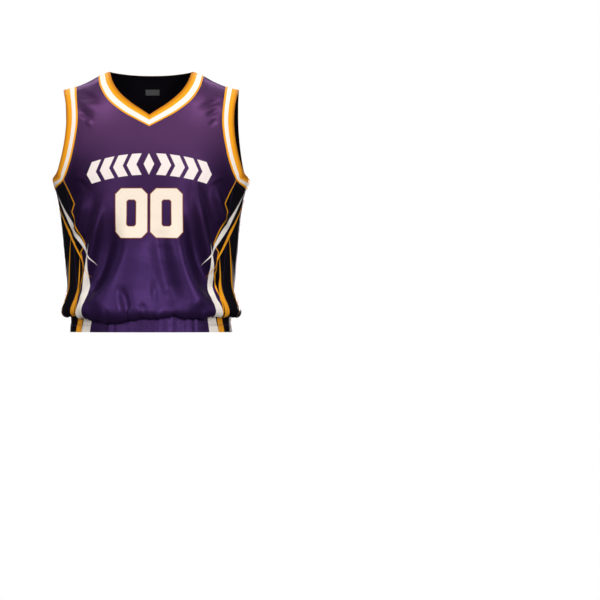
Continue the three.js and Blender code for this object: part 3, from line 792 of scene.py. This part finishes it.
def edge_at(tree, drop):
    """Distance in from the side seam of the black side's edge, at a drop."""
    low, high = black_edge[0][0], black_edge[-1][0]
    top = max(inward for _, inward in black_edge)
    bottom = min(inward for _, inward in black_edge)
    share = add(tree, "MapRange", {}, drop, low, high, 0.0, 1.0)
    curve = add(tree, "FloatCurve", {}, 1.0, share)
    points = curve.node.mapping.curves[0].points
    for drop_here, inward in black_edge[1:-1]:
        points.new((drop_here - low) / (high - low), (inward - bottom) / (top - bottom))
    points[0].location = (0, (black_edge[0][1] - bottom) / (top - bottom))
    points[-1].location = (1, (black_edge[-1][1] - bottom) / (top - bottom))
    for point in points:
        point.handle_type = "VECTOR"
    curve.node.mapping.update()
    return add(tree, "MapRange", {}, curve, 0.0, 1.0, bottom, top)


def print_and_painted_light(tree, girth, drop, inward, top, painted_shade_band, numerals):
    """Printed colours of a body panel, with painted highlight at the top and painted shade in a band and towards
    the sides, and the mask of its matte inks.
    """
    # Lighter at the top and darker towards the bottom: partly a print gradient, partly painted highlight of the
    # light from above on the chest and shoulders.
    height = add(tree, "MapRange", {"interpolation_type": "SMOOTHSTEP"}, drop, 120, 420, 0.0, 1.0)
    colour = paint(tree, linear(top), height, VIOLET)
    # Painted shade: a darker band across the panel around a given drop.
    from_painted_shade = add(tree, "Math", "ABSOLUTE", add(tree, "Math", "SUBTRACT", drop, painted_shade_band[0]))
    middle = add(tree, "MapRange", {"interpolation_type": "SMOOTHSTEP"}, from_painted_shade, *painted_shade_band[1:], 0.8, 0.0)
    colour = paint(tree, colour, middle, PAINTED_SHADE_PURPLE)
    # Darker towards the side seams, from below the armpits to just above the roll: partly a printed gradient,
    # partly painted shade where the body turns away from the light.
    shade = add(tree, "MapRange", {"interpolation_type": "SMOOTHSTEP"}, inward, 24, 116, 0.8, 0.0)
    low = add(tree, "MapRange", {"interpolation_type": "SMOOTHSTEP"}, drop, 170, 300, 0.0, 1.0)
    above_roll = add(tree, "MapRange", {"interpolation_type": "SMOOTHSTEP"}, drop, 500, 585, 1.0, 0.15)
    low = add(tree, "Math", "MULTIPLY", low, above_roll)
    colour = paint(tree, colour, add(tree, "Math", "MULTIPLY", shade, low), DEEP_VIOLET)
    past = add(tree, "Math", "SUBTRACT", inward, edge_at(tree, drop))
    colour = paint(tree, colour, inside(tree, past), BLACK)
    piping = add(tree, "Math", "SUBTRACT", add(tree, "Math", "ABSOLUTE", past), PIPING / 2)
    colour = paint(tree, colour, inside(tree, piping), GOLD)
    inked = []
    for ink, root, tip, *widths in side_blades:
        inked.append(blade(tree, inward, drop, root, tip, *widths))
        colour = paint(tree, colour, inside(tree, inked[-1]), ink)
    if numerals:
        zeros = double_zero(tree, girth, drop, *numerals["zeros"])
        row = chevron_row(tree, girth, drop, *numerals["row"])
        rim = add(tree, "Math", "SUBTRACT", zeros, numerals["rim"])
        colour = paint(tree, colour, inside(tree, rim), BROWN)
        colour = paint(tree, colour, inside(tree, zeros), CREAM)
        colour = paint(tree, colour, inside(tree, row), PEARL)
        inked += [rim, row]
        if "lozenge" in numerals:
            middle, half_width, half_height = numerals["lozenge"]
            y = add(tree, "Math", "ABSOLUTE", add(tree, "Math", "SUBTRACT", drop, middle))
            mark = lozenge(tree, add(tree, "Math", "ABSOLUTE", girth), y, half_width, half_height)
            colour = paint(tree, colour, inside(tree, mark), GOLD)
            inked.append(mark)
    nearest = inked[0]
    for shape in inked[1:]:
        nearest = add(tree, "Math", "MINIMUM", nearest, shape)
    return colour, inside(tree, nearest)


def new_material(name):
    made = bpy.data.materials.new(name)
    made.use_nodes = True
    made.node_tree.nodes.clear()
    return made, made.node_tree


GRAZING_TINT = "#8d8198"  # a knit's face is broken up by its loops, so it hardly mirrors at a glancing angle


def finish_material(tree, colour, normal, roughness, specular, lustre=0.0):
    """Cloth surface from its colour and normal. lustre is the share that mirrors in the cloth's own colour."""
    shader = add(tree, "BsdfPrincipled", {}, {
        "Base Color": colour, "Normal": normal, "Roughness": roughness, "Specular IOR Level": specular,
        "Metallic": lustre, "Specular Tint": linear(GRAZING_TINT),
    })
    add(tree, "OutputMaterial", {}, {"Surface": shader})


def numbers_of(tree, attribute):
    """The three numbers of a vector attribute of the cloth."""
    vector = add(tree, "Attribute", {"attribute_name": attribute}).node.outputs["Vector"]
    return list(add(tree, "SeparateXYZ", {}, vector).node.outputs)


def ridges(tree, value, pitch):
    """Rounded ridges at a pitch: 1 on top of each and 0 between two."""
    turned = add(tree, "Math", "MULTIPLY", value, math.pi / pitch)
    return add(tree, "Math", "ABSOLUTE", add(tree, "Math", "SINE", turned))


KNIT_PITCH = 2.8  # eyelets of a polyester mesh knit are 1 to 2 mm apart; drawn coarser so that they show
EYELET_DEPTH = 0.25 * MM


def eyelets(tree):
    """1 in the small round eyelets of a mesh knit, every other row of them set over by half."""
    across, down, _ = numbers_of(tree, "grain")
    one_way = ridges(tree, add(tree, "Math", "ADD", across, down), KNIT_PITCH)
    other_way = ridges(tree, add(tree, "Math", "SUBTRACT", across, down), KNIT_PITCH)
    waves = add(tree, "Math", "MULTIPLY", one_way, other_way)
    return add(tree, "MapRange", {"interpolation_type": "SMOOTHSTEP"}, waves, 0.45, 0.95, 0.0, 1.0)


def knit_surface(tree, colour, roughness, specular, lustre=0.0):
    """Mesh knit of a colour: deeper in its eyelets, with painted shade darkening them."""
    holes_and_shade = eyelets(tree)
    # Painted shade in the eyelets.
    darker = add(tree, "Mix", {"data_type": "RGBA", "blend_type": "MULTIPLY"},
                 {0: 1.0, 6: colour, 7: linear("#cecece")}).node.outputs[2]
    colour = paint(tree, colour, holes_and_shade, darker)
    depth = add(tree, "Math", "MULTIPLY", holes_and_shade, -1.0)
    normal = add(tree, "Bump", {}, {"Strength": 0.6, "Distance": EYELET_DEPTH, "Height": depth})
    finish_material(tree, colour, normal, roughness, specular, lustre)


SATIN_LUSTRE = 0.56


def body_knit(name, top=PLUM, painted_shade_band=(325, 40, 170), numerals=None):
    """Polyester mesh knit, dye-sublimated: a satin face with the colours printed into it, and painted highlight and
    shade among them.
    """
    material, tree = new_material(name)
    girth, drop, inward = numbers_of(tree, "place")
    colour, matte = print_and_painted_light(tree, girth, drop, inward, top, painted_shade_band, numerals)
    lustre = add(tree, "Math", "MULTIPLY_ADD", matte, -SATIN_LUSTRE, SATIN_LUSTRE)
    knit_surface(tree, colour, 0.39, 0.2, lustre)
    return material


def inner_knit():
    """Inside of the jersey: its wrong side, coloured near black."""
    material, tree = new_material("mesh_knit_wrong_side")
    knit_surface(tree, linear("#0f0d13"), 0.8, 0.15)
    return material


BAND_WIDTH = 28.0
RIB_PITCH = 1.848


def rib_knit(name, stripes):
    """Rib trim: fine ribs across the band, with knitted stripes along it and painted shade towards its free edge.
    """
    material, tree = new_material(name)
    along, share, _ = numbers_of(tree, "place")
    # Painted shade: the gold darkens towards the free edge, where the band turns in.
    turned = add(tree, "MapRange", {"interpolation_type": "SMOOTHSTEP"}, share, 0.6, 1.0, 0.0, 1.0)
    colour = paint(tree, linear(GOLD), turned, SHADED_GOLD)
    for ink, start, end in stripes:
        low = add(tree, "Math", "SUBTRACT", start, share)
        high = add(tree, "Math", "SUBTRACT", share, end)
        both = add(tree, "Math", "MULTIPLY", add(tree, "Math", "MAXIMUM", low, high), BAND_WIDTH)
        colour = paint(tree, colour, inside(tree, both), ink)
    ribs = ridges(tree, along, RIB_PITCH)
    normal = add(tree, "Bump", {}, {"Strength": 0.5, "Distance": 0.25 * MM, "Height": ribs})
    finish_material(tree, colour, normal, 0.6, 0.25)
    return material


LABEL_THREAD = 0.8  # rows of a woven label are about 0.2 mm apart; drawn coarser so that they show
LABEL_FLOAT = 2.6


def label_satin():
    """Woven satin label: close rows of shiny thread, each tied down at every float, so it gleams in fine lines,
    with a painted highlight on the tops of the rows.
    """
    material, tree = new_material("label_satin")
    across, down, _ = numbers_of(tree, "grain")
    rows = ridges(tree, down, LABEL_THREAD)
    floats = ridges(tree, add(tree, "Math", "MULTIPLY_ADD", down, 1.5, across), LABEL_FLOAT)
    weave_and_sheen = add(tree, "Math", "MULTIPLY", rows, floats)
    # Painted highlight: the tops of the thread rows are lighter.
    colour = paint(tree, linear("#404345"), weave_and_sheen, "#64676a")
    normal = add(tree, "Bump", {}, {"Strength": 0.5, "Distance": 0.12 * MM, "Height": weave_and_sheen})
    finish_material(tree, colour, normal, 0.4, 0.5)
    return material


FRONT_PRINT = {
    "zeros": (355.5, 39.2, 60, 27, 14, 8),
    "row": (235, 471, 31, 162, 26.5, 33.8, 23.7, 0.5, 13),
    "rim": 1.8,
}
BACK_PRINT = {
    "zeros": (293, 60.2, 94.5, 42, 21, 12),
    "row": (144.5, 1400, 31, 110, 27.5, 28.5, 19.5, 0.5, 13),
    "rim": 3.2,
    "lozenge": (76, 17, 21),
}

inner = inner_knit()
side_cloth = body_knit("mesh_knit_side")
neck_rib = rib_knit("neck_rib", [(WHITE, 0.13, 0.53)])
arm_rib = rib_knit("arm_rib", [(WHITE, 0.14, 0.45)])


def cloth_piece(made, node):
    """Hangs a cloth piece on the root body and hides the CAD part that it stands for."""
    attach(made, "root")
    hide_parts(node)
    return made


front = shell("front_cloth", front_grids(), PANEL_WALL, [body_knit("mesh_knit_front", PLUM, (325, 40, 170), FRONT_PRINT), inner])
cloth_piece(front, "front_panel")
back = shell("back_cloth", back_grids(), PANEL_WALL, [body_knit("mesh_knit_back", GRAPE, (400, 90, 190), BACK_PRINT), inner])
cloth_piece(back, "back_panel")
for side, word in ((1, "left"), (-1, "right")):
    panel = shell(f"side_cloth_{word}", [side_grid(side)], PANEL_WALL, [side_cloth, inner])
    cloth_piece(panel, f"side_panel_{word}")
    band = shell(f"arm_rib_{word}", [arm_grid(side)], BAND_WALL, [arm_rib, inner], swell=rounded_band)
    cloth_piece(band, f"armband_{word}")
neck = shell("neck_rib", neck_grids(), BAND_WALL, [neck_rib, inner], swell=rounded_band)
cloth_piece(neck, "neckband")
label = shell("neck_tag", [label_grid()], LABEL_WALL, [label_satin()], lift=-(1.5 + LABEL_WALL) / 2 - LABEL_GAP)
cloth_piece(label, "neck_label")


# Stitching: sizes in millimetres. Thread is about 0.4 mm across; it is drawn thicker so that it shows.
STITCH_PITCH = 4.2
STITCH_LENGTH = 3.0
THREAD_WIDTH = 0.8
BAND_ROWS = (-0.08, -0.2)
SEAM_ROW_TURN = 1.3
HEM_ROWS = (0.93, 0.8)
SHOULDER_ROW_LEVEL = 0.014
SHOULDER_ROW_ENDS = 6
SHOULDER_ROW_POINTS = 24


def band_stitches(share):
    """Rows of (angle, level) beside the neckband and the armhole bands, on the body."""
    rows = []
    stations = np.linspace(0, ARM_END, 241)
    (seam, seam_drop), (edge, edge_drop) = arm_seam(stations), arm_edge(stations)
    seam_level, edge_level = level_of(seam, seam_drop), level_of(edge, edge_drop)
    for level in (seam_level, edge_level):
        level[[0, -1]] = 0
    angle = mix(seam, edge, share)
    level = np.maximum(mix(seam_level, edge_level, share), 0)
    rows += [(mirrored(angle, side), level) for side in (1, -1)]
    for neck, steps, facing in ((front_neck, neck_steps, FRONT), (back_neck, back_steps, BACK)):
        across = mix(smooth(neck, "row", "seam", steps), smooth(neck, "row", "edge", steps), share)
        drop = mix(smooth(neck, "row", "seam_drop", steps), smooth(neck, "row", "edge_drop", steps), share)
        level = level_at(across, drop, facing)
        rows += [(angle_at(side * across, level, facing), level) for side in (1, -1)]
    return rows


def stitch_rows():
    """Every row of stitches, as arrays of angles and levels."""
    rows = [row for share in BAND_ROWS for row in band_stitches(share)]
    down = np.linspace(CORNER_LEVEL + 0.02, HEM_LEVEL - 0.1, 241)
    across = np.linspace(back_neck_across[-1] + SHOULDER_ROW_ENDS, SHOULDER_END - SHOULDER_ROW_ENDS, SHOULDER_ROW_POINTS)
    shoulder = np.full(SHOULDER_ROW_POINTS, SHOULDER_ROW_LEVEL)
    for side in (1, -1):
        for facing in (FRONT, BACK):
            beside = np.full(len(down), facing * (SIDE_SEAM_ANGLE + SEAM_ROW_TURN))
            rows.append((mirrored(beside, side), down))
        rows.append((angle_at(side * across, shoulder, BACK), shoulder))
    around = np.linspace(-179.9, 179.9, 481)
    rows += [(around, np.full(len(around), HEM_LEVEL - up)) for up in HEM_ROWS]
    return rows


def stitch_guides():
    """Lines on the outside of the cloth for the stitches to follow, with the cloth's direction outwards."""
    points, normals, edges = [], [], []
    for angle, level in stitch_rows():
        grid = Grid(angle[None, :], level[None, :])
        first = sum(len(p) for p in points)
        points.append(grid.point + grid.normal * (grid.rise + PANEL_WALL / 2)[:, None])
        normals.append(grid.normal)
        edges += [(first + i, first + i + 1) for i in range(len(angle) - 1)]
    mesh = bpy.data.meshes.new("stitch_guides")
    mesh.from_pydata((np.concatenate(points) * MM).tolist(), edges, [])
    stored = mesh.attributes.new("out", "FLOAT_VECTOR", "POINT")
    stored.data.foreach_set("vector", np.concatenate(normals).astype(np.float32).ravel())
    made = bpy.data.objects.new("stitch_guides", mesh)
    bpy.context.scene.collection.objects.link(made)
    return made


def stitching_tree():
    """Nodes that set a thread of stitches along each line of a mesh."""
    tree = bpy.data.node_groups.new("stitching", "GeometryNodeTree")
    inputs = [("Lines", "Geometry"), ("Pitch", "Float"), ("Size", "Vector"), ("Material", "Material")]
    sockets = {name: tree.interface.new_socket(name, in_out="INPUT", socket_type="NodeSocket" + kind).identifier
               for name, kind in inputs}
    tree.interface.new_socket("Stitches", in_out="OUTPUT", socket_type="NodeSocketGeometry")
    given = tree.nodes.new("NodeGroupInput").outputs
    curve = add(tree, "GeometryNodeMeshToCurve", {}, given["Lines"])
    even = add(tree, "GeometryNodeResampleCurve", {"mode": "LENGTH"}, {"Curve": curve, "Length": given["Pitch"]})
    outwards = add(tree, "GeometryNodeInputNamedAttribute", {"data_type": "FLOAT_VECTOR"}, "out")
    along = add(tree, "GeometryNodeInputTangent", {})
    turn = add(tree, "FunctionNodeAxesToRotation", {"primary_axis": "Z", "secondary_axis": "X"}, outwards, along)
    thread = add(tree, "GeometryNodeMeshUVSphere", {}, 6, 4, 0.5)
    thread = add(tree, "GeometryNodeSetShadeSmooth", {}, {"Geometry": thread})
    placed = add(tree, "GeometryNodeInstanceOnPoints", {},
                 {"Points": even, "Instance": thread, "Rotation": turn, "Scale": given["Size"]})
    real = add(tree, "GeometryNodeRealizeInstances", {}, placed)
    coloured = add(tree, "GeometryNodeSetMaterial", {}, {"Geometry": real, "Material": given["Material"]})
    add(tree, "NodeGroupOutput", {}, coloured)
    return tree, sockets


TWIST_PITCH = 0.9  # two plies cross a sewing thread every 0.4 mm or so; drawn coarser so that they show


def polyester_thread():
    """Spun polyester thread: a shade lighter than the cloth, with painted shade between its plies, and a slight
    shine.
    """
    material, tree = new_material("polyester_thread")
    x, y, z = add(tree, "SeparateXYZ", {}, add(tree, "NewGeometry", {})).node.outputs
    slanted = add(tree, "Math", "ADD", add(tree, "Math", "ADD", x, y), z)
    plies = ridges(tree, slanted, TWIST_PITCH * MM)
    # Painted shade between the plies.
    colour = paint(tree, linear("#37264b"), plies, "#574070")
    normal = add(tree, "Bump", {}, {"Strength": 0.5, "Distance": 0.1 * MM, "Height": plies})
    finish_material(tree, colour, normal, 0.5, 0.4)
    return material


def stitching():
    guides = stitch_guides()
    modifier = guides.modifiers.new("stitching", "NODES")
    modifier.node_group, sockets = stitching_tree()
    modifier[sockets["Pitch"]] = STITCH_PITCH * MM
    modifier[sockets["Size"]] = [STITCH_LENGTH * MM, THREAD_WIDTH * MM, THREAD_WIDTH * 0.7 * MM]
    modifier[sockets["Material"]] = polyester_thread()
    depsgraph = bpy.context.evaluated_depsgraph_get()
    mesh = bpy.data.meshes.new_from_object(guides.evaluated_get(depsgraph))
    bpy.data.objects.remove(guides)
    made = bpy.data.objects.new("stitching", mesh)
    bpy.context.scene.collection.objects.link(made)
    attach(made, "root")


stitching()


# Stage: a pale floor, white surroundings and soft lamps on every side
FLOOR_HEIGHT = -1.42
FLOOR_GLOW = 0.1
ROOM_GLOW = 0.1


def white_to_camera(tree, dim):
    """Pure white where the camera sees it, and dimmer as a source of light."""
    straight = add(tree, "LightPath", {})
    strength = add(tree, "MapRange", {}, straight, 0.0, 1.0, dim, 1.0)
    return strength


def floor():
    mesh = bpy.data.meshes.new("floor")
    ring = [(30 * math.cos(a), 30 * math.sin(a), FLOOR_HEIGHT) for a in np.linspace(0, 2 * math.pi, 65)[:-1]]
    mesh.from_pydata(ring, [], [tuple(range(len(ring)))])
    material, tree = new_material("pale_floor")
    glow = add(tree, "Emission", {}, linear("#ffffff"), white_to_camera(tree, FLOOR_GLOW))
    add(tree, "OutputMaterial", {}, {"Surface": glow})
    mesh.materials.append(material)
    made = bpy.data.objects.new("floor", mesh)
    bpy.context.scene.collection.objects.link(made)


def lamp(name, place, target, size, power, colour="#ffffff"):
    light = bpy.data.lights.new(name, "AREA")
    light.shape = "RECTANGLE"
    light.size, light.size_y = size
    light.energy = power
    light.color = linear(colour)[:3]
    made = bpy.data.objects.new(name, light)
    made.location = place
    made.rotation_euler = (Vector(target) - Vector(place)).to_track_quat("-Z", "Y").to_euler()
    made.visible_camera = False
    bpy.context.scene.collection.objects.link(made)


def surroundings():
    """White behind the jersey as the camera sees it, and a dim grey as a source of light."""
    world = bpy.data.worlds.new("studio")
    bpy.context.scene.world = world
    world.use_nodes = True
    tree = world.node_tree
    tree.nodes.clear()
    seen = add(tree, "Background", {}, linear("#ffffff"), white_to_camera(tree, ROOM_GLOW))
    add(tree, "OutputWorld", {}, seen)


floor()
surroundings()
centre = (0, 0, -0.3)
for side, word in ((-1, "front"), (1, "back")):
    for across, power, hand in ((1.0, 40, "left"), (-0.9, 24, "right")):
        lamp(f"key_{word}_{hand}", (across, 2.85 * side, -0.15), centre, (0.25, 0.8), power, "#fff8f0")
    for across, hand in ((1.25, "left"), (-1.25, "right")):
        lamp(f"top_{word}_{hand}", (across, 1.7 * side, 2.1), centre, (0.9, 0.6), 37, "#fff8f0")
lamp("fill_left", (3.0, 0.0, 0.1), centre, (1.2, 2.0), 8)
lamp("fill_right", (-3.0, 0.0, 0.1), centre, (1.2, 2.0), 8)

# Camera: square on to the front, with the jersey where it is in the photograph's 600 pixel frame
PHOTO_PIXELS = 600
MM_PER_PIXEL = 2.5
FRONT_CENTRE_PIXEL = (151.25, 72)
LENS = 200
SENSOR = 36


def camera():
    data = bpy.data.cameras.new("camera")
    data.lens, data.sensor_width = LENS, SENSOR
    made = bpy.data.objects.new("camera", data)
    seen = PHOTO_PIXELS * MM_PER_PIXEL * MM
    across = (PHOTO_PIXELS / 2 - FRONT_CENTRE_PIXEL[0]) * MM_PER_PIXEL * MM
    below = (PHOTO_PIXELS / 2 - FRONT_CENTRE_PIXEL[1]) * MM_PER_PIXEL * MM
    made.location = (across, -seen * LENS / SENSOR, NECK_POINT_HEIGHT * MM - below)
    made.rotation_euler = (math.pi / 2, 0, 0)
    bpy.context.scene.collection.objects.link(made)
    bpy.context.scene.camera = made


camera()
bpy.context.scene.view_settings.view_transform = "Standard"
